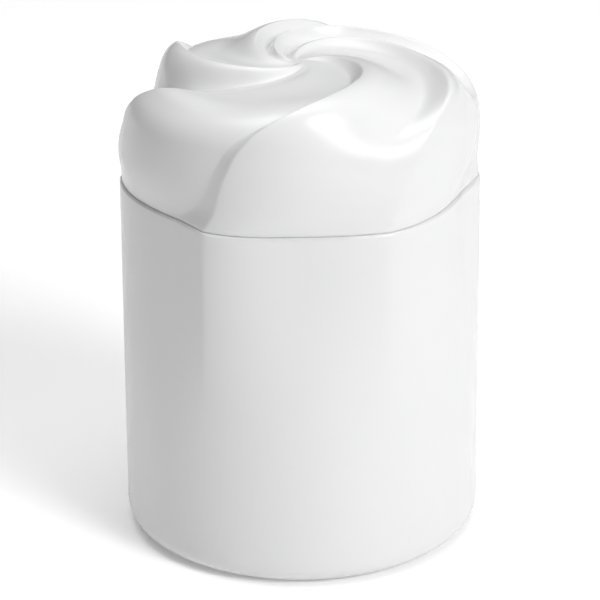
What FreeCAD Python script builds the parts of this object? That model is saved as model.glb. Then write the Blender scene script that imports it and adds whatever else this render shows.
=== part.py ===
import FreeCAD, Part
import math
import os

# Lidded porcelain jar: a plain round pot whose rim turns into a six-cornered pinwheel,
# and a tall hollow lid modelled as a rosette of six petals that wind in to the middle.
# Millimetres, +Z up, the jar stands on z = 0 with its axis on the origin.

# ---- driving dimensions -------------------------------------------------------------
RADIUS = 52.5            # outside radius of the round pot
RIM_Z = 107.5            # height of the seat between pot and lid
PETALS = 6
FIRST_CORNER = -92.0     # bearing of the first rim corner, degrees from -Y towards +X
POT_OVERHANG = 0.6       # how far the pot rim stands outside the lid
BASE_ROUND = 6.3         # rounding between the wall and the underside
RIM_ROUND = 0.9          # rounding of the pot's outer rim edge
LID_ROUND = 0.5          # rounding of the lid's lower edge
WAVE_END = 0.62          # share of the pot height over which the pinwheel fades out

MOUTH_RADIUS = 45.0      # round mouth the lid's flange drops into
MOUTH_DEPTH = 13.0
BELLY_RADIUS = 47.8      # round inside of the pot
FLOOR_Z = 6.0
FLOOR_ROUND = 9.0
FOOT_INNER = 42.0        # inner radius of the foot ring
FOOT_RECESS = 1.8

FLANGE_CLEARANCE = 0.6
FLANGE_WALL = 3.4
FLANGE_DEPTH = 8.0
HOLLOW_SHOULDER = 6.0    # the lid's inside: straight this far up from the seat, then domed
HOLLOW_RISE = 24.0
HOLLOW_POWER = 2.6

# The grooves between the petals, from the lid's lower edge to the middle.
# Each row: radius, height over the seat (both in pot radii), turn round the axis in degrees.
GROOVE = [
    (0.926, 0.015, 0.0),
    (0.935, 0.110, 3.0),
    (0.950, 0.220, 5.0),
    (0.950, 0.340, 8.0),
    (0.925, 0.455, 12.0),
    (0.865, 0.540, 19.0),
    (0.780, 0.600, 30.0),
    (0.665, 0.635, 43.0),
    (0.515, 0.650, 60.0),
    (0.340, 0.660, 80.0),
    (0.170, 0.665, 107.0),
    (0.030, 0.670, 140.0),
]
# How far a petal stands off the grooves at each of those rows, in pot radii.
PETAL_RISE = [0.062, 0.047, 0.035, 0.030, 0.038, 0.060, 0.075, 0.078, 0.072, 0.055, 0.030, 0.000]
# Width of the flank that climbs from a groove to its petal's ridge, degrees.
FLANK = [14.4, 8.0, 5.4, 4.6, 4.0, 3.6, 4.2, 6.0, 9.6, 14.4, 18.0, 19.2]
# How far the groove lies before the corner line, degrees.
GROOVE_LAG = [14.0, 7.2, 4.4, 3.7, 3.3, 3.0, 3.0, 3.0, 3.0, 3.0, 3.0, 3.0]
# Depth of the hollow behind the crest, as a share of the petal's own rise.
HOLLOW = [0.0, 0.0, 0.0, 0.05, 0.15, 0.25, 0.35, 0.42, 0.45, 0.40, 0.25, 0.0]
# Sharpness of the groove: 0 leaves a soft wave, 1 a crease.
CREASE = [0.0, 0.35, 0.7, 1.0, 1.0, 1.0, 1.0, 1.0, 1.0, 1.0, 0.6, 0.0]
# The rosette is modelled by hand, so its six grooves differ a little. For each groove:
# how much further it winds, how much higher and how much wider it runs at mid length.
WIND = [0.85, 1.07, 1.50, 1.30, 0.80, 0.95]
LIFT = [-0.027, 0.040, -0.030, -0.074, -0.030, -0.017]
SPREAD = [-0.046, 0.020, 0.000, 0.056, -0.020, 0.004]
# For each petal: how full its trailing side stays before it falls into the next groove,
# and how much deeper than the common value its hollow is.
FULLNESS = [1.7, 1.9, 1.7, 1.5, 1.25, 2.4]
DISHING = [1.0, 0.8, 1.0, 1.0, 1.3, 1.95]
# For each groove: 0 leaves it a narrow crease under a rounded crest, 1 rolls it out into
# a wide soft valley that ends at a crisp ridge; and how many degrees that adds to its flank.
VALLEY = [0.3, 0.8, 1.0, 0.8, 0.6, 0.1]
ADDED_FLANK = [0.0, 0.5, 13.0, 3.0, 2.0, 1.5]
# How much prouder than the common rise each petal stands: on its wall, where it turns over
# at the shoulder, and on its top.
STAND_WALL = [2.0, 1.0, 0.85, 1.0, 1.0, 0.8]
STAND_SHOULDER = [1.25, 1.0, 1.7, 1.0, 1.0, 0.91]
STAND_TOP = [0.15, 0.8, 0.8, 1.0, 1.0, 0.78]
# How far each petal's face sinks under the straight line between its two grooves.
SAG = [0.0, 0.0, 0.0, 0.0, 0.0, 0.100]

# ---- sampling of the free-form skins ------------------------------------------------
DOME_ROWS = 44
ACROSS = [0.0, 0.008, 0.018, 0.03, 0.045, 0.062, 0.082, 0.106, 0.135, 0.17, 0.21, 0.255, 0.31,
          0.375, 0.45, 0.53, 0.61, 0.69, 0.76, 0.82, 0.875, 0.92, 0.955, 0.98, 1.0]
WALL_ROWS = 14
ROUND_ROWS = 6


def blend(values, t):
    """Smooth curve through evenly spaced values, t running from 0 to 1."""
    last = len(values) - 1
    x = min(max(t, 0.0), 1.0) * last
    i = min(int(x), last - 1)
    f = x - i
    b = values[i]
    c = values[i + 1]
    a = values[i - 1] if i > 0 else 2 * b - c
    d = values[i + 2] if i + 2 <= last else 2 * c - b
    return 0.5 * (2 * b + (c - a) * f + (2 * a - 5 * b + 4 * c - d) * f ** 2
                  + (3 * b - a - 3 * c + d) * f ** 3)


def ease(low, high, x):
    t = min(max((x - low) / (high - low), 0.0), 1.0)
    return t * t * (3 - 2 * t)


def added_flank(index, s):
    return ADDED_FLANK[index] * (1 - ease(0.55, 0.85, s))


def groove(index, s):
    """Radius, height and bearing of one groove, s from the lower edge to the middle."""
    index %= PETALS
    radius, height, turn = (blend([row[k] for row in GROOVE], s) for k in range(3))
    middle = math.sin(math.pi * s) ** 2
    wind = 1 + (WIND[index] - 1) * ease(0.1, 0.6, s) * (1 - 0.7 * ease(0.75, 1.0, s))
    bearing = FIRST_CORNER - blend(GROOVE_LAG, s) - added_flank(index, s) + turn * wind
    return radius + SPREAD[index] * middle, height + LIFT[index] * middle, bearing


def dome(petal, u, s):
    """Radius, height and bearing under a petal, eased from its groove to the next one."""
    here = groove(petal, s)
    after = groove(petal + 1, s)
    share = u * u * (3 - 2 * u)
    radius = here[0] + (after[0] - here[0]) * share
    height = here[1] + (after[1] - here[1]) * share
    spacing = 360.0 / PETALS
    bearing = here[2] + (after[2] + spacing - here[2]) * u + petal * spacing
    return radius, height, bearing


def lobe(petal, u, s):
    """Height across one petal: 0 in the grooves either side, 1 on the crest."""
    width = 360.0 / PETALS + groove(petal + 1, s)[2] - groove(petal, s)[2]
    edge = min((blend(FLANK, s) + added_flank(petal, s)) / width, 0.5)
    crease = min(max(blend(CREASE, s), 0.0), 1.0)
    if u < edge:
        x = u / edge
        rise = crease * math.sin(0.5 * math.pi * x) + (1 - crease) * x ** 1.3
        return rise + (x ** 1.7 - rise) * VALLEY[petal]
    x = (u - edge) / (1 - edge)
    rolled = math.cos(0.5 * math.pi * x ** 1.25) ** 2
    full = 1 - x ** FULLNESS[petal]
    full += (rolled - full) * VALLEY[(petal + 1) % PETALS]
    fall = crease * full + (1 - crease) * math.cos(0.5 * math.pi * x) ** 2
    hollow = DISHING[petal] * blend(HOLLOW, s) * math.sin(math.pi * x) ** 2
    return fall - hollow


def lid_skin(petal, u, s):
    """Point of the lid's outer skin: u across the petal, s from lower edge to middle."""
    radius, height, bearing = dome(petal, u, s)
    step = 0.001
    r0, z0, _ = dome(petal, u, max(s - step, 0.0))
    r1, z1, _ = dome(petal, u, min(s + step, 1.0))
    length = math.hypot(r1 - r0, z1 - z0)
    lift = ease(0.0, 0.12, s)
    out_r = (1 - lift) + lift * (z1 - z0) / length
    out_z = lift * (r0 - r1) / length
    wall = 1 + (STAND_WALL[petal] - 1) * ease(0.0, 0.25, s)
    shoulder = wall + (STAND_SHOULDER[petal] - wall) * ease(0.34, 0.50, s)
    stand = shoulder + (STAND_TOP[petal] - shoulder) * ease(0.48, 0.66, s)
    off = stand * blend(PETAL_RISE, s) * lobe(petal, u, s)
    off -= SAG[petal] * (math.sin(math.pi * u * u) * math.sin(math.pi * s)) ** 2
    return (math.radians(bearing), RADIUS * (radius + off * out_r),
            RIM_Z + RADIUS * (height + off * out_z))


def vector(bearing, radius, z):
    return FreeCAD.Vector(radius * math.sin(bearing), -radius * math.cos(bearing), z)


def sharpened(line):
    """Control points whose cubic B-spline runs through the given points, near enough."""
    out = list(line)
    for i in range(1, len(line) - 1):
        out[i] = line[i] - (line[i - 1] - line[i] * 2 + line[i + 1]) * (1 / 6)
    return out


def patch(rows):
    """Clamped bicubic face through a grid of points."""
    def knots(count):
        spans = count - 3
        return list(range(spans + 1)), [4] + [1] * (spans - 1) + [4]

    rows = [sharpened(row) for row in rows]
    columns = [sharpened(column) for column in zip(*rows)]
    net = [list(row) for row in zip(*columns)]
    u_knots, u_mults = knots(len(net))
    v_knots, v_mults = knots(len(net[0]))
    surface = Part.BSplineSurface()
    surface.buildFromPolesMultsKnots(net, u_mults, v_mults, u_knots, v_knots,
                                     False, False, 3, 3)
    return surface.toShape()


def rim_curve(faces, z):
    """Planar face closing the ring of free edges that lie at height z."""
    edges = []
    for face in faces:
        for edge in face.Edges:
            box = edge.BoundBox
            if abs(box.ZMin - z) < 1e-6 and abs(box.ZMax - z) < 1e-6:
                edges.append(edge)
    return Part.Face(Part.Wire(Part.sortEdges(edges)[0]))


def closed(faces):
    shell = Part.Shell(faces)
    shell.sewShape()
    solid = Part.Solid(shell)
    solid.fix(1e-6, 1e-6, 1e-4)
    return solid


def turned(profile):
    """Solid of revolution about the jar's axis from a closed (radius, z) outline."""
    points = [FreeCAD.Vector(r, 0, z) for r, z in profile]
    wire = Part.makePolygon(points + [points[0]])
    return Part.Face(wire).revolve(FreeCAD.Vector(0, 0, 0), FreeCAD.Vector(0, 0, 1), 360)


def arc(centre_r, centre_z, radius, start, end, count=10):
    out = []
    for i in range(count + 1):
        a = math.radians(start + (end - start) * i / count)
        out.append((centre_r + radius * math.cos(a), centre_z + radius * math.sin(a)))
    return out


def pot_radius(petal, u, z):
    """Outer radius of the pot: the pinwheel at the rim fading to a circle below."""
    bearing, rim, _ = lid_skin(petal, u, 0.0)
    fade = ease(0.0, WAVE_END, 1 - z / RIM_Z)
    return bearing, (rim + POT_OVERHANG) * (1 - fade) + RADIUS * fade


def jar_body():
    skin = []
    wall_low = BASE_ROUND
    wall_high = RIM_Z - RIM_ROUND
    for petal in range(PETALS):
        foot = []
        for i in range(ROUND_ROWS + 1):
            a = 0.5 * math.pi * i / ROUND_ROWS
            z = BASE_ROUND * (1 - math.cos(a))
            inset = BASE_ROUND * (1 - math.sin(a))
            foot.append([pot_radius(petal, u, z) + (z, inset) for u in ACROSS])
        wall = []
        for i in range(WALL_ROWS + 1):
            z = wall_low + (wall_high - wall_low) * i / WALL_ROWS
            wall.append([pot_radius(petal, u, z) + (z, 0.0) for u in ACROSS])
        rim = []
        for i in range(ROUND_ROWS + 1):
            a = 0.5 * math.pi * i / ROUND_ROWS
            z = wall_high + RIM_ROUND * math.sin(a)
            inset = RIM_ROUND * (1 - math.cos(a))
            rim.append([pot_radius(petal, u, z) + (z, inset) for u in ACROSS])
        for band in (foot, wall, rim):
            rows = [[vector(b, r - inset, z) for b, r, z, inset in row] for row in band]
            skin.append(patch(rows))
    under = rim_curve(skin, 0.0)
    seat = rim_curve(skin, RIM_Z)
    solid = closed(skin + [under, seat])

    inside = [(0.0, FLOOR_Z)]
    inside += arc(BELLY_RADIUS - FLOOR_ROUND, FLOOR_Z + FLOOR_ROUND, FLOOR_ROUND, -90, 0)
    inside += [(BELLY_RADIUS, RIM_Z - MOUTH_DEPTH - 8.0)]
    inside += [(MOUTH_RADIUS, RIM_Z - MOUTH_DEPTH), (MOUTH_RADIUS, RIM_Z - 1.0)]
    inside += arc(MOUTH_RADIUS + 1.0, RIM_Z - 1.0, 1.0, 180, 90, 4)
    inside += [(MOUTH_RADIUS + 1.0, RIM_Z + 5.0), (0.0, RIM_Z + 5.0)]
    recess = [(0.0, -1.0), (FOOT_INNER, -1.0), (FOOT_INNER, 0.0),
              (FOOT_INNER - 1.2, FOOT_RECESS), (0.0, FOOT_RECESS)]
    return solid.cut(turned(inside)).cut(turned(recess))


def lid_hollow(radius, count=24):
    """(radius, z) line of the lid's inside, from its wall to the middle of its ceiling."""
    line = []
    for i in range(count + 1):
        share = math.cos(0.5 * math.pi * i / count) ** (2 / HOLLOW_POWER)
        rise = math.sin(0.5 * math.pi * i / count) ** (2 / HOLLOW_POWER)
        line.append((radius * share, RIM_Z + HOLLOW_SHOULDER + HOLLOW_RISE * rise))
    line[-1] = (0.0, line[-1][1])
    return line


def lid():
    skin = []
    low = lid_skin(0, 0.0, 0.0)[2]
    for petal in range(PETALS):
        edge = []
        for i in range(ROUND_ROWS + 1):
            a = 0.5 * math.pi * i / ROUND_ROWS
            row = []
            for u in ACROSS:
                bearing, radius, _ = lid_skin(petal, u, 0.0)
                row.append(vector(bearing, radius - LID_ROUND * (1 - math.sin(a)),
                                  RIM_Z + (low - RIM_Z) * (1 - math.cos(a))))
            edge.append(row)
        top = [[vector(*lid_skin(petal, u, i / DOME_ROWS)) for u in ACROSS]
               for i in range(DOME_ROWS + 1)]
        skin.append(patch(edge))
        skin.append(patch(top))
    middle = lid_skin(0, 0.0, 1.0)[2]
    solid = closed(skin + [rim_curve(skin, RIM_Z), rim_curve(skin, middle)])

    flange_radius = MOUTH_RADIUS - FLANGE_CLEARANCE
    flange_bottom = RIM_Z - FLANGE_DEPTH
    flange = turned([(0.0, flange_bottom),
                     (flange_radius - 1.0, flange_bottom),
                     (flange_radius, flange_bottom + 1.0),
                     (flange_radius, RIM_Z + 1.0),
                     (0.0, RIM_Z + 1.0)])
    inner_radius = flange_radius - FLANGE_WALL
    hollow = [(0.0, flange_bottom - 1.0), (inner_radius, flange_bottom - 1.0)]
    hollow += lid_hollow(inner_radius)
    return solid.fuse(flange).cut(turned(hollow))


nodes = {"jar_body": jar_body(), "lid": lid()}
os.makedirs("parts", exist_ok=True)
for name, shape in nodes.items():
    if shape.ShapeType == "Compound" and len(shape.Solids) == 1:
        shape = shape.Solids[0]
    box = shape.BoundBox
    print(name, shape.ShapeType, shape.isValid(), len(shape.Faces), round(shape.Volume),
          [round(v, 2) for v in (box.XLength, box.YLength, box.ZMin, box.ZMax)])
    shape.exportStep("parts/" + name + ".step")
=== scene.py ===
import math

import bmesh
import bpy
from mathutils import Matrix, Vector


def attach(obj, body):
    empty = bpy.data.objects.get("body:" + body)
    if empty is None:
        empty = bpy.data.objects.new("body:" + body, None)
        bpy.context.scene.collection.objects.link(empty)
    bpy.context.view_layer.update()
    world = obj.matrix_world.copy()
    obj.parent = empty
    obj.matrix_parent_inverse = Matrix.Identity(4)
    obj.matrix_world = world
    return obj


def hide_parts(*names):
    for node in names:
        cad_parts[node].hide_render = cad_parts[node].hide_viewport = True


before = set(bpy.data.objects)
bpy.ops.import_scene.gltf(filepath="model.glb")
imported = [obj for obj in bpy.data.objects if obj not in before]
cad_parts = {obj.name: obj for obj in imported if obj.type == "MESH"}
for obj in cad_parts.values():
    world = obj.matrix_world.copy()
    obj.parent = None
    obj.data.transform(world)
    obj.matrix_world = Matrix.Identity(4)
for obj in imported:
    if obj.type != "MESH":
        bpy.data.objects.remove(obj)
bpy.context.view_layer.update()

MM = 0.001

# ---- driving dimensions in millimetres, the same as the CAD's -------------------------
RADIUS = 52.5            # outside radius of the round pot
RIM_Z = 107.5            # height of the seat between pot and lid
PETALS = 6
FIRST_CORNER = -92.0     # bearing of the first rim corner, degrees from -Y towards +X
POT_OVERHANG = 0.6       # how far the pot rim stands outside the lid
BASE_ROUND = 6.3         # rounding between the wall and the underside
RIM_ROUND = 0.9          # rounding of the pot's outer rim edge
LID_ROUND = 0.5          # rounding of the lid's lower edge
WAVE_END = 0.62          # share of the pot height over which the pinwheel fades out

MOUTH_RADIUS = 45.0      # round mouth the lid's flange drops into
MOUTH_DEPTH = 13.0
MOUTH_LIP = 1.0          # rounding of the mouth's upper edge
MOUTH_TAPER = 8.0        # height over which the mouth widens to the belly
BELLY_RADIUS = 47.8      # round inside of the pot
FLOOR_Z = 6.0
FLOOR_ROUND = 9.0
FOOT_INNER = 42.0        # inner radius of the foot ring
FOOT_RECESS = 1.8
FOOT_SLOPE = 1.2         # how far in the recess's sloping edge runs

FLANGE_CLEARANCE = 0.6
FLANGE_WALL = 3.4
FLANGE_DEPTH = 8.0
FLANGE_CHAMFER = 1.0
HOLLOW_SHOULDER = 6.0    # the lid's inside: straight this far up from the seat, then domed
HOLLOW_RISE = 24.0
HOLLOW_POWER = 2.6

# The grooves between the petals, from the lid's lower edge to the middle.
# Each row: radius, height over the seat (both in pot radii), turn round the axis in degrees.
GROOVE = [
    (0.926, 0.015, 0.0),
    (0.935, 0.110, 3.0),
    (0.950, 0.220, 5.0),
    (0.950, 0.340, 8.0),
    (0.925, 0.455, 12.0),
    (0.865, 0.540, 19.0),
    (0.780, 0.600, 30.0),
    (0.665, 0.635, 43.0),
    (0.515, 0.650, 60.0),
    (0.340, 0.660, 80.0),
    (0.170, 0.665, 107.0),
    (0.030, 0.670, 140.0),
]
# How far a petal stands off the grooves at each of those rows, in pot radii.
PETAL_RISE = [0.062, 0.047, 0.035, 0.030, 0.038, 0.060, 0.075, 0.078, 0.072, 0.055, 0.030, 0.000]
# Width of the flank that climbs from a groove to its petal's ridge, degrees.
FLANK = [14.4, 8.0, 5.4, 4.6, 4.0, 3.6, 4.2, 6.0, 9.6, 14.4, 18.0, 19.2]
# How far the groove lies before the corner line, degrees.
GROOVE_LAG = [14.0, 7.2, 4.4, 3.7, 3.3, 3.0, 3.0, 3.0, 3.0, 3.0, 3.0, 3.0]
# Depth of the hollow behind the crest, as a share of the petal's own rise.
HOLLOW = [0.0, 0.0, 0.0, 0.05, 0.15, 0.25, 0.35, 0.42, 0.45, 0.40, 0.25, 0.0]
# Sharpness of the groove: 0 leaves a soft wave, 1 a crease.
CREASE = [0.0, 0.35, 0.7, 1.0, 1.0, 1.0, 1.0, 1.0, 1.0, 1.0, 0.6, 0.0]
# The rosette is modelled by hand, so its six grooves differ a little. For each groove:
# how much further it winds, how much higher and how much wider it runs at mid length.
WIND = [0.85, 1.07, 1.50, 1.30, 0.80, 0.95]
LIFT = [-0.027, 0.040, -0.030, -0.074, -0.030, -0.017]
SPREAD = [-0.046, 0.020, 0.000, 0.056, -0.020, 0.004]
# For each petal: how full its trailing side stays before it falls into the next groove,
# and how much deeper than the common value its hollow is.
FULLNESS = [1.7, 1.9, 1.7, 1.5, 1.25, 2.4]
DISHING = [1.0, 0.8, 1.0, 1.0, 1.3, 1.95]
# For each groove: 0 leaves it a narrow crease under a rounded crest, 1 rolls it out into
# a wide soft valley that ends at a crisp ridge; and how many degrees that adds to its flank.
VALLEY = [0.3, 0.8, 1.0, 0.8, 0.6, 0.1]
ADDED_FLANK = [0.0, 0.5, 13.0, 3.0, 2.0, 1.5]
# How much prouder than the common rise each petal stands: on its wall, where it turns over
# at the shoulder, and on its top.
STAND_WALL = [2.0, 1.0, 0.85, 1.0, 1.0, 0.8]
STAND_SHOULDER = [1.25, 1.0, 1.7, 1.0, 1.0, 0.91]
STAND_TOP = [0.15, 0.8, 0.8, 1.0, 1.0, 0.78]
# How far each petal's face sinks under the straight line between its two grooves.
SAG = [0.0, 0.0, 0.0, 0.0, 0.0, 0.100]

# ---- mesh density -----------------------------------------------------------------------
ACROSS = 48              # vertices across one petal
LEADING_DENSITY = 1.6    # over 1 packs them towards the petal's leading edge
DOME_ROWS = 132
WALL_ROWS = 48
ROUND_STEPS = 8
MOUTH_ROWS = 4
TAPER_ROWS = 5
BELLY_ROWS = 11
HOLLOW_ROWS = 25
RECESS_RINGS = (8.0, 20.0, 32.0)    # radii of the flat rings in the foot recess
FLOOR_RINGS = (30.0, 18.0, 6.0)     # radii of the flat rings on the pot's floor


def blend(values, t):
    """Smooth curve through evenly spaced values, t running from 0 to 1."""
    last = len(values) - 1
    x = min(max(t, 0.0), 1.0) * last
    i = min(int(x), last - 1)
    f = x - i
    b = values[i]
    c = values[i + 1]
    a = values[i - 1] if i > 0 else 2 * b - c
    d = values[i + 2] if i + 2 <= last else 2 * c - b
    return 0.5 * (2 * b + (c - a) * f + (2 * a - 5 * b + 4 * c - d) * f ** 2
                  + (3 * b - a - 3 * c + d) * f ** 3)


def ease(low, high, x):
    t = min(max((x - low) / (high - low), 0.0), 1.0)
    return t * t * (3 - 2 * t)


def added_flank(index, s):
    return ADDED_FLANK[index] * (1 - ease(0.55, 0.85, s))


def groove(index, s):
    """Radius, height and bearing of one groove, s from the lower edge to the middle."""
    index %= PETALS
    radius, height, turn = (blend([row[k] for row in GROOVE], s) for k in range(3))
    middle = math.sin(math.pi * s) ** 2
    wind = 1 + (WIND[index] - 1) * ease(0.1, 0.6, s) * (1 - 0.7 * ease(0.75, 1.0, s))
    bearing = FIRST_CORNER - blend(GROOVE_LAG, s) - added_flank(index, s) + turn * wind
    return radius + SPREAD[index] * middle, height + LIFT[index] * middle, bearing


def dome(petal, u, s):
    """Radius, height and bearing under a petal, eased from its groove to the next one."""
    here = groove(petal, s)
    after = groove(petal + 1, s)
    share = u * u * (3 - 2 * u)
    radius = here[0] + (after[0] - here[0]) * share
    height = here[1] + (after[1] - here[1]) * share
    spacing = 360.0 / PETALS
    bearing = here[2] + (after[2] + spacing - here[2]) * u + petal * spacing
    return radius, height, bearing


def lobe(petal, u, s):
    """Height across one petal: 0 in the grooves either side, 1 on the crest."""
    width = 360.0 / PETALS + groove(petal + 1, s)[2] - groove(petal, s)[2]
    edge = min((blend(FLANK, s) + added_flank(petal, s)) / width, 0.5)
    crease = min(max(blend(CREASE, s), 0.0), 1.0)
    if u < edge:
        x = u / edge
        rise = crease * math.sin(0.5 * math.pi * x) + (1 - crease) * x ** 1.3
        return rise + (x ** 1.7 - rise) * VALLEY[petal]
    x = (u - edge) / (1 - edge)
    rolled = math.cos(0.5 * math.pi * x ** 1.25) ** 2
    full = 1 - x ** FULLNESS[petal]
    full += (rolled - full) * VALLEY[(petal + 1) % PETALS]
    fall = crease * full + (1 - crease) * math.cos(0.5 * math.pi * x) ** 2
    hollow = DISHING[petal] * blend(HOLLOW, s) * math.sin(math.pi * x) ** 2
    return fall - hollow


def lid_skin(petal, u, s):
    """Point of the lid's outer skin: u across the petal, s from lower edge to middle."""
    radius, height, bearing = dome(petal, u, s)
    step = 0.001
    r0, z0, _ = dome(petal, u, max(s - step, 0.0))
    r1, z1, _ = dome(petal, u, min(s + step, 1.0))
    length = math.hypot(r1 - r0, z1 - z0)
    lift = ease(0.0, 0.12, s)
    out_r = (1 - lift) + lift * (z1 - z0) / length
    out_z = lift * (r0 - r1) / length
    wall = 1 + (STAND_WALL[petal] - 1) * ease(0.0, 0.25, s)
    shoulder = wall + (STAND_SHOULDER[petal] - wall) * ease(0.34, 0.50, s)
    stand = shoulder + (STAND_TOP[petal] - shoulder) * ease(0.48, 0.66, s)
    off = stand * blend(PETAL_RISE, s) * lobe(petal, u, s)
    off -= SAG[petal] * (math.sin(math.pi * u * u) * math.sin(math.pi * s)) ** 2
    return (math.radians(bearing), RADIUS * (radius + off * out_r),
            RIM_Z + RADIUS * (height + off * out_z))


def pot_radius(petal, u, z):
    """Outer radius of the pot: the pinwheel at the rim fading to a circle below."""
    bearing, rim, _ = lid_skin(petal, u, 0.0)
    fade = ease(0.0, WAVE_END, 1 - z / RIM_Z)
    return bearing, (rim + POT_OVERHANG) * (1 - fade) + RADIUS * fade


# ---- closed skins built ring by ring ----------------------------------------------------
# Every ring has one vertex at each of these places round the jar: petal and share across it.
STATIONS = [(petal, (j / ACROSS) ** LEADING_DENSITY)
            for petal in range(PETALS) for j in range(ACROSS)]


def point(bearing, radius, z):
    return Vector((radius * math.sin(bearing), -radius * math.cos(bearing), z)) * MM


def round_ring(radius, z):
    """Plain circle at the rim's own bearings, so its quads line up with the skin's."""
    return [point(lid_skin(petal, u, 0.0)[0], radius, z) for petal, u in STATIONS]


def quarter(steps=ROUND_STEPS):
    return [0.5 * math.pi * i / steps for i in range(steps + 1)]


def closed_skin(name, rings, bottom, top):
    """Quad mesh through the rings, closed by a fan to a point at either end."""
    mesh = bmesh.new()
    grid = [[mesh.verts.new(p) for p in ring] for ring in rings]
    count = len(STATIONS)
    faces = []
    for low, high in zip(grid, grid[1:]):
        for j in range(count):
            k = (j + 1) % count
            faces.append(mesh.faces.new((low[j], low[k], high[k], high[j])))
    for ring, z, order in ((grid[0], bottom, -1), (grid[-1], top, 1)):
        hub = mesh.verts.new((0, 0, z * MM))
        for j in range(count):
            pair = (ring[j], ring[(j + 1) % count])[::order]
            faces.append(mesh.faces.new((pair[0], pair[1], hub)))
    for face in faces:
        face.smooth = True
    bmesh.ops.recalc_face_normals(mesh, faces=mesh.faces)
    data = bpy.data.meshes.new(name)
    mesh.to_mesh(data)
    mesh.free()
    piece = bpy.data.objects.new(name, data)
    bpy.context.collection.objects.link(piece)
    return piece


def pot_outside():
    """Rings up the pot's outside, from the base rounding to the rim."""
    low = BASE_ROUND
    high = RIM_Z - RIM_ROUND
    outline = []
    for a in quarter():
        outline.append((BASE_ROUND * (1 - math.cos(a)), BASE_ROUND * (1 - math.sin(a))))
    for i in range(1, WALL_ROWS):
        outline.append((low + (high - low) * i / WALL_ROWS, 0.0))
    for a in quarter():
        outline.append((high + RIM_ROUND * math.sin(a), RIM_ROUND * (1 - math.cos(a))))
    rings = []
    for z, inset in outline:
        ring = []
        for petal, u in STATIONS:
            bearing, radius = pot_radius(petal, u, z)
            ring.append(point(bearing, radius - inset, z))
        rings.append(ring)
    return rings


def pot_inside():
    """(radius, z) line from the rim's flat down the inside to the middle of the floor."""
    mouth_low = RIM_Z - MOUTH_DEPTH
    belly_high = mouth_low - MOUTH_TAPER
    belly_low = FLOOR_Z + FLOOR_ROUND
    lip_low = RIM_Z - MOUTH_LIP
    line = [(MOUTH_RADIUS + MOUTH_LIP + 0.1, RIM_Z)]
    for a in quarter():
        line.append((MOUTH_RADIUS + MOUTH_LIP * (1 - math.sin(a)), lip_low + MOUTH_LIP * math.cos(a)))
    for i in range(1, MOUTH_ROWS + 1):
        line.append((MOUTH_RADIUS, lip_low + (mouth_low - lip_low) * i / MOUTH_ROWS))
    for i in range(1, TAPER_ROWS + 1):
        share = i / TAPER_ROWS
        line.append((MOUTH_RADIUS + (BELLY_RADIUS - MOUTH_RADIUS) * share,
                     mouth_low + (belly_high - mouth_low) * share))
    for i in range(1, BELLY_ROWS + 1):
        line.append((BELLY_RADIUS, belly_high + (belly_low - belly_high) * i / BELLY_ROWS))
    for a in quarter()[1:]:
        line.append((BELLY_RADIUS - FLOOR_ROUND * (1 - math.cos(a)),
                     belly_low - FLOOR_ROUND * math.sin(a)))
    return line + [(r, FLOOR_Z) for r in FLOOR_RINGS]


def build_pot():
    """Closed skin from the middle of the foot recess out, up the wall and down the inside."""
    # The close pairs of rings either side of an edge keep its shading crisp.
    slope_top = FOOT_INNER - FOOT_SLOPE
    foot = [(r, FOOT_RECESS) for r in RECESS_RINGS]
    foot += [(slope_top - 0.4, FOOT_RECESS), (slope_top, FOOT_RECESS)]
    foot += [(slope_top + 0.1, FOOT_RECESS - 0.15), (FOOT_INNER - 0.1, 0.15)]
    foot += [(FOOT_INNER, 0.0), (FOOT_INNER + 0.3, 0.0), (RADIUS - BASE_ROUND - 0.2, 0.0)]
    rings = [round_ring(r, z) for r, z in foot]
    rings += pot_outside()
    rings += [round_ring(r, z) for r, z in pot_inside()]
    return closed_skin("pot_porcelain", rings, FOOT_RECESS, FLOOR_Z)


def lid_hollow(inner_radius):
    """(radius, z) line of the lid's inside, from its wall up towards its ceiling."""
    line = []
    for i in range(HOLLOW_ROWS):
        a = 0.5 * math.pi * i / HOLLOW_ROWS
        share = math.cos(a) ** (2 / HOLLOW_POWER)
        rise = math.sin(a) ** (2 / HOLLOW_POWER)
        line.append((inner_radius * share, RIM_Z + HOLLOW_SHOULDER + HOLLOW_RISE * rise))
    return line


def build_lid():
    """Closed skin from the ceiling of the hollow down, round the flange and up the dome."""
    flange_radius = MOUTH_RADIUS - FLANGE_CLEARANCE
    inner_radius = flange_radius - FLANGE_WALL
    flange_low = RIM_Z - FLANGE_DEPTH
    under = list(reversed(lid_hollow(inner_radius)))
    under += [(inner_radius, RIM_Z - 2.0), (inner_radius, flange_low + 0.3)]
    under += [(inner_radius + 0.3, flange_low), (flange_radius - FLANGE_CHAMFER, flange_low)]
    under += [(flange_radius - 0.05, flange_low + FLANGE_CHAMFER - 0.05)]
    under += [(flange_radius, flange_low + FLANGE_CHAMFER + 0.1)]
    under += [(flange_radius, RIM_Z - 0.3), (flange_radius, RIM_Z)]
    rings = [round_ring(r, z) for r, z in under]
    start = lid_skin(0, 0.0, 0.0)[2]
    for a in quarter():
        ring = []
        for petal, u in STATIONS:
            bearing, radius, _ = lid_skin(petal, u, 0.0)
            ring.append(point(bearing, radius - LID_ROUND * (1 - math.sin(a)),
                              RIM_Z + (start - RIM_Z) * (1 - math.cos(a))))
        rings.append(ring)
    for i in range(1, DOME_ROWS + 1):
        rings.append([point(*lid_skin(petal, u, i / DOME_ROWS)) for petal, u in STATIONS])
    ceiling = RIM_Z + HOLLOW_SHOULDER + HOLLOW_RISE
    return closed_skin("lid_porcelain", rings, ceiling, lid_skin(0, 0.0, 1.0)[2])


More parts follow.
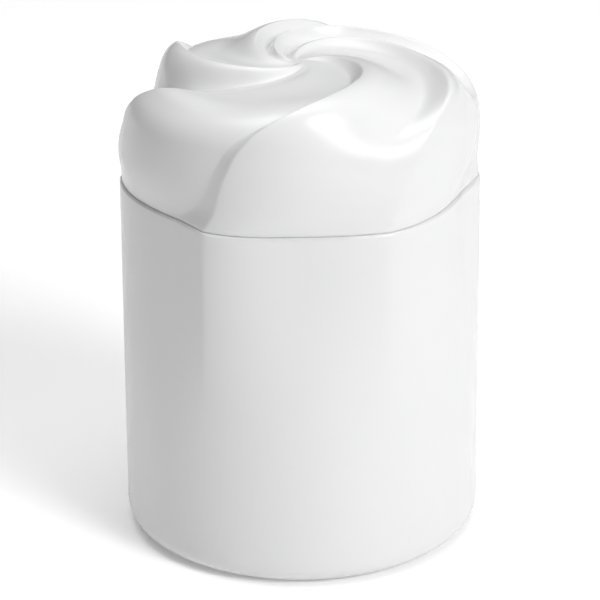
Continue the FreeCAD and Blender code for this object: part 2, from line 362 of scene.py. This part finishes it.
# ---- materials --------------------------------------------------------------------------
# Colours and roughnesses are pairs: a noise pattern in the object's own space runs
# between the two. Pattern scales are per metre, bump distances in metres.
GLAZE_COLOURS = ((0.74, 0.742, 0.745), (0.76, 0.76, 0.76))
GLAZE_ROUGHNESS = (0.20, 0.25)
GLAZE_IOR = 1.42
GLAZE_SUBSURFACE = 0.12
SUBSURFACE_DEPTH = 0.003
TONE_SCALE = 28.0
GLOSS_SCALE = 70.0
WAVE_SCALE = 45.0        # slow unevenness of the fired surface
WAVE_DISTANCE = 0.0004
PEEL_SCALE = 900.0       # fine orange peel of the glaze
PEEL_DISTANCE = 0.00004

BISQUE_COLOURS = ((0.70, 0.68, 0.64), (0.80, 0.79, 0.76))
BISQUE_ROUGHNESS = (0.55, 0.75)
GRAIN_SCALE = 1400.0
GRAIN_DISTANCE = 0.0001

PAPER_COLOURS = ((0.88, 0.88, 0.88), (0.90, 0.90, 0.90))
PAPER_SCALE = 6.0
PAPER_GLOW = 0.16        # emission that keeps the floor near white


def shader(name):
    material = bpy.data.materials.new(name)
    material.use_nodes = True
    tree = material.node_tree
    return material, tree, tree.nodes["Principled BSDF"]


def noise(tree, coords, scale, detail=3.0):
    node = tree.nodes.new("ShaderNodeTexNoise")
    node.inputs["Scale"].default_value = scale
    node.inputs["Detail"].default_value = detail
    tree.links.new(coords, node.inputs["Vector"])
    return node.outputs["Fac"]


def spread_range(tree, source, ends):
    """The noise's middle range stretched over the two end values."""
    node = tree.nodes.new("ShaderNodeMapRange")
    node.inputs["From Min"].default_value = 0.3
    node.inputs["From Max"].default_value = 0.7
    node.inputs["To Min"].default_value = ends[0]
    node.inputs["To Max"].default_value = ends[1]
    tree.links.new(source, node.inputs["Value"])
    return node.outputs["Result"]


def colour_mix(tree, source, ends):
    node = tree.nodes.new("ShaderNodeMix")
    node.data_type = "RGBA"
    node.inputs["A"].default_value = (*ends[0], 1.0)
    node.inputs["B"].default_value = (*ends[1], 1.0)
    tree.links.new(source, node.inputs["Factor"])
    return node.outputs["Result"]


def bump(tree, height, distance, strength, after=None):
    node = tree.nodes.new("ShaderNodeBump")
    node.inputs["Distance"].default_value = distance
    node.inputs["Strength"].default_value = strength
    tree.links.new(height, node.inputs["Height"])
    if after is not None:
        tree.links.new(after, node.inputs["Normal"])
    return node.outputs["Normal"]


def glaze(name):
    """Clear gloss glaze over white porcelain: milky body, faintly uneven fired surface."""
    material, tree, principled = shader(name)
    coords = tree.nodes.new("ShaderNodeTexCoord").outputs["Object"]
    tone = colour_mix(tree, noise(tree, coords, TONE_SCALE), GLAZE_COLOURS)
    tree.links.new(tone, principled.inputs["Base Color"])
    gloss = spread_range(tree, noise(tree, coords, GLOSS_SCALE), GLAZE_ROUGHNESS)
    tree.links.new(gloss, principled.inputs["Roughness"])
    waves = bump(tree, noise(tree, coords, WAVE_SCALE, 1.0), WAVE_DISTANCE, 0.25)
    peel = bump(tree, noise(tree, coords, PEEL_SCALE, 2.0), PEEL_DISTANCE, 0.15, waves)
    tree.links.new(peel, principled.inputs["Normal"])
    principled.inputs["Subsurface Weight"].default_value = GLAZE_SUBSURFACE
    principled.inputs["Subsurface Radius"].default_value = (1.0, 0.9, 0.8)
    principled.inputs["Subsurface Scale"].default_value = SUBSURFACE_DEPTH
    principled.inputs["IOR"].default_value = GLAZE_IOR
    return material


def bisque():
    """Bare fired porcelain on the ground flat of the foot ring."""
    material, tree, principled = shader("bare_foot_ring")
    coords = tree.nodes.new("ShaderNodeTexCoord").outputs["Object"]
    grain = noise(tree, coords, GRAIN_SCALE, 4.0)
    tree.links.new(colour_mix(tree, grain, BISQUE_COLOURS), principled.inputs["Base Color"])
    tree.links.new(spread_range(tree, grain, BISQUE_ROUGHNESS), principled.inputs["Roughness"])
    tree.links.new(bump(tree, grain, GRAIN_DISTANCE, 0.5), principled.inputs["Normal"])
    return material


# ---- the two pieces ---------------------------------------------------------------------
FLAT_TOLERANCE = 0.02    # millimetres off the ground within which a face is the foot's flat

pot = build_pot()
pot.data.materials.append(glaze("pot_glaze"))
pot.data.materials.append(bisque())
for face in pot.data.polygons:
    centre = face.center
    if centre.z < FLAT_TOLERANCE * MM and math.hypot(centre.x, centre.y) > FOOT_INNER * MM:
        face.material_index = 1
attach(pot, "jar_body")
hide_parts("jar_body")

lid = build_lid()
lid.data.materials.append(glaze("lid_glaze"))
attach(lid, "lid")
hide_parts("lid")

# ---- floor, light and camera --------------------------------------------------------------
FLOOR_HALF = 1.6         # metres
FLOOR_DROP = 0.0002      # metres under the foot ring
WORLD_LIGHT = 0.05

LIGHT_TARGET = (0.0, 0.0, 0.075)
LAMP_GAIN = 3.0          # makes up for what the fade towards a lamp's edge takes away
# Name, azimuth and elevation in degrees, distance, width and height in metres, watts.
LAMPS = (
    ("key", 45.0, 34.0, 2.2, 1.2, 1.5, 41.5),
    ("top", -150.0, 86.0, 2.8, 4.0, 4.0, 88.0),
)

VIEW_DISTANCE = 19.5 * RADIUS * MM
VIEW_RISE = math.radians(23.1)
VIEW_ROLL = math.radians(-0.39)
AIM_HEIGHT = 1.296 * RADIUS * MM
VIEW_LENS = 207.8
VIEW_SHIFT = -0.0012


def build_floor():
    mesh = bmesh.new()
    corners = ((-1, -1), (1, -1), (1, 1), (-1, 1))
    mesh.faces.new([mesh.verts.new((x * FLOOR_HALF, y * FLOOR_HALF, -FLOOR_DROP)) for x, y in corners])
    data = bpy.data.meshes.new("floor")
    mesh.to_mesh(data)
    mesh.free()
    floor = bpy.data.objects.new("floor", data)
    bpy.context.collection.objects.link(floor)
    material, tree, principled = shader("floor_paper")
    coords = tree.nodes.new("ShaderNodeTexCoord").outputs["Object"]
    tone = colour_mix(tree, noise(tree, coords, PAPER_SCALE), PAPER_COLOURS)
    tree.links.new(tone, principled.inputs["Base Color"])
    principled.inputs["Roughness"].default_value = 0.9
    principled.inputs["Specular IOR Level"].default_value = 0.0
    principled.inputs["Emission Color"].default_value = (1.0, 1.0, 1.0, 1.0)
    principled.inputs["Emission Strength"].default_value = PAPER_GLOW
    data.materials.append(material)


def aim(thing, place, target, roll=0.0):
    thing.location = place
    turn = (Vector(target) - Vector(place)).to_track_quat("-Z", "Y").to_matrix()
    thing.rotation_euler = (turn @ Matrix.Rotation(roll, 3, "Z")).to_euler()


def soft_box(name, azimuth, elevation, distance, width, height, power, target):
    """Rectangular lamp that fades to its edges; azimuth from the front towards the right."""
    lamp = bpy.data.lights.new(name, "AREA")
    lamp.shape = "RECTANGLE"
    lamp.size = width
    lamp.size_y = height
    lamp.energy = power
    lamp.use_nodes = True
    tree = lamp.node_tree
    spot = tree.nodes.new("ShaderNodeNewGeometry").outputs["Parametric"]
    centred = tree.nodes.new("ShaderNodeMapping")
    centred.inputs["Location"].default_value = (-1.0, -1.0, 0.0)
    centred.inputs["Scale"].default_value = (2.0, 2.0, 0.0)
    tree.links.new(spot, centred.inputs["Vector"])
    falloff = tree.nodes.new("ShaderNodeTexGradient")
    falloff.gradient_type = "SPHERICAL"
    tree.links.new(centred.outputs["Vector"], falloff.inputs["Vector"])
    scaled = tree.nodes.new("ShaderNodeMath")
    scaled.operation = "MULTIPLY"
    scaled.inputs[1].default_value = LAMP_GAIN
    tree.links.new(falloff.outputs["Fac"], scaled.inputs[0])
    tree.links.new(scaled.outputs["Value"], tree.nodes["Emission"].inputs["Strength"])
    holder = bpy.data.objects.new(name, lamp)
    bpy.context.collection.objects.link(holder)
    a, e = math.radians(azimuth), math.radians(elevation)
    offset = Vector((math.sin(a) * math.cos(e), -math.cos(a) * math.cos(e), math.sin(e)))
    aim(holder, Vector(target) + offset * distance, target)


build_floor()
for lamp_values in LAMPS:
    soft_box(*lamp_values, LIGHT_TARGET)

world = bpy.data.worlds.new("studio")
bpy.context.scene.world = world
world.use_nodes = True
world.node_tree.nodes["Background"].inputs["Color"].default_value = (1.0, 1.0, 1.0, 1.0)
world.node_tree.nodes["Background"].inputs["Strength"].default_value = WORLD_LIGHT

camera = bpy.data.cameras.new("camera")
camera.sensor_width = 36.0
camera.lens = VIEW_LENS
camera.shift_x = VIEW_SHIFT
camera.clip_start = 0.01
view = bpy.data.objects.new("camera", camera)
bpy.context.collection.objects.link(view)
eye = (0.0, -VIEW_DISTANCE * math.cos(VIEW_RISE), AIM_HEIGHT + VIEW_DISTANCE * math.sin(VIEW_RISE))
aim(view, eye, (0.0, 0.0, AIM_HEIGHT), VIEW_ROLL)
bpy.context.scene.camera = view
bpy.context.scene.view_settings.view_transform = "Standard"
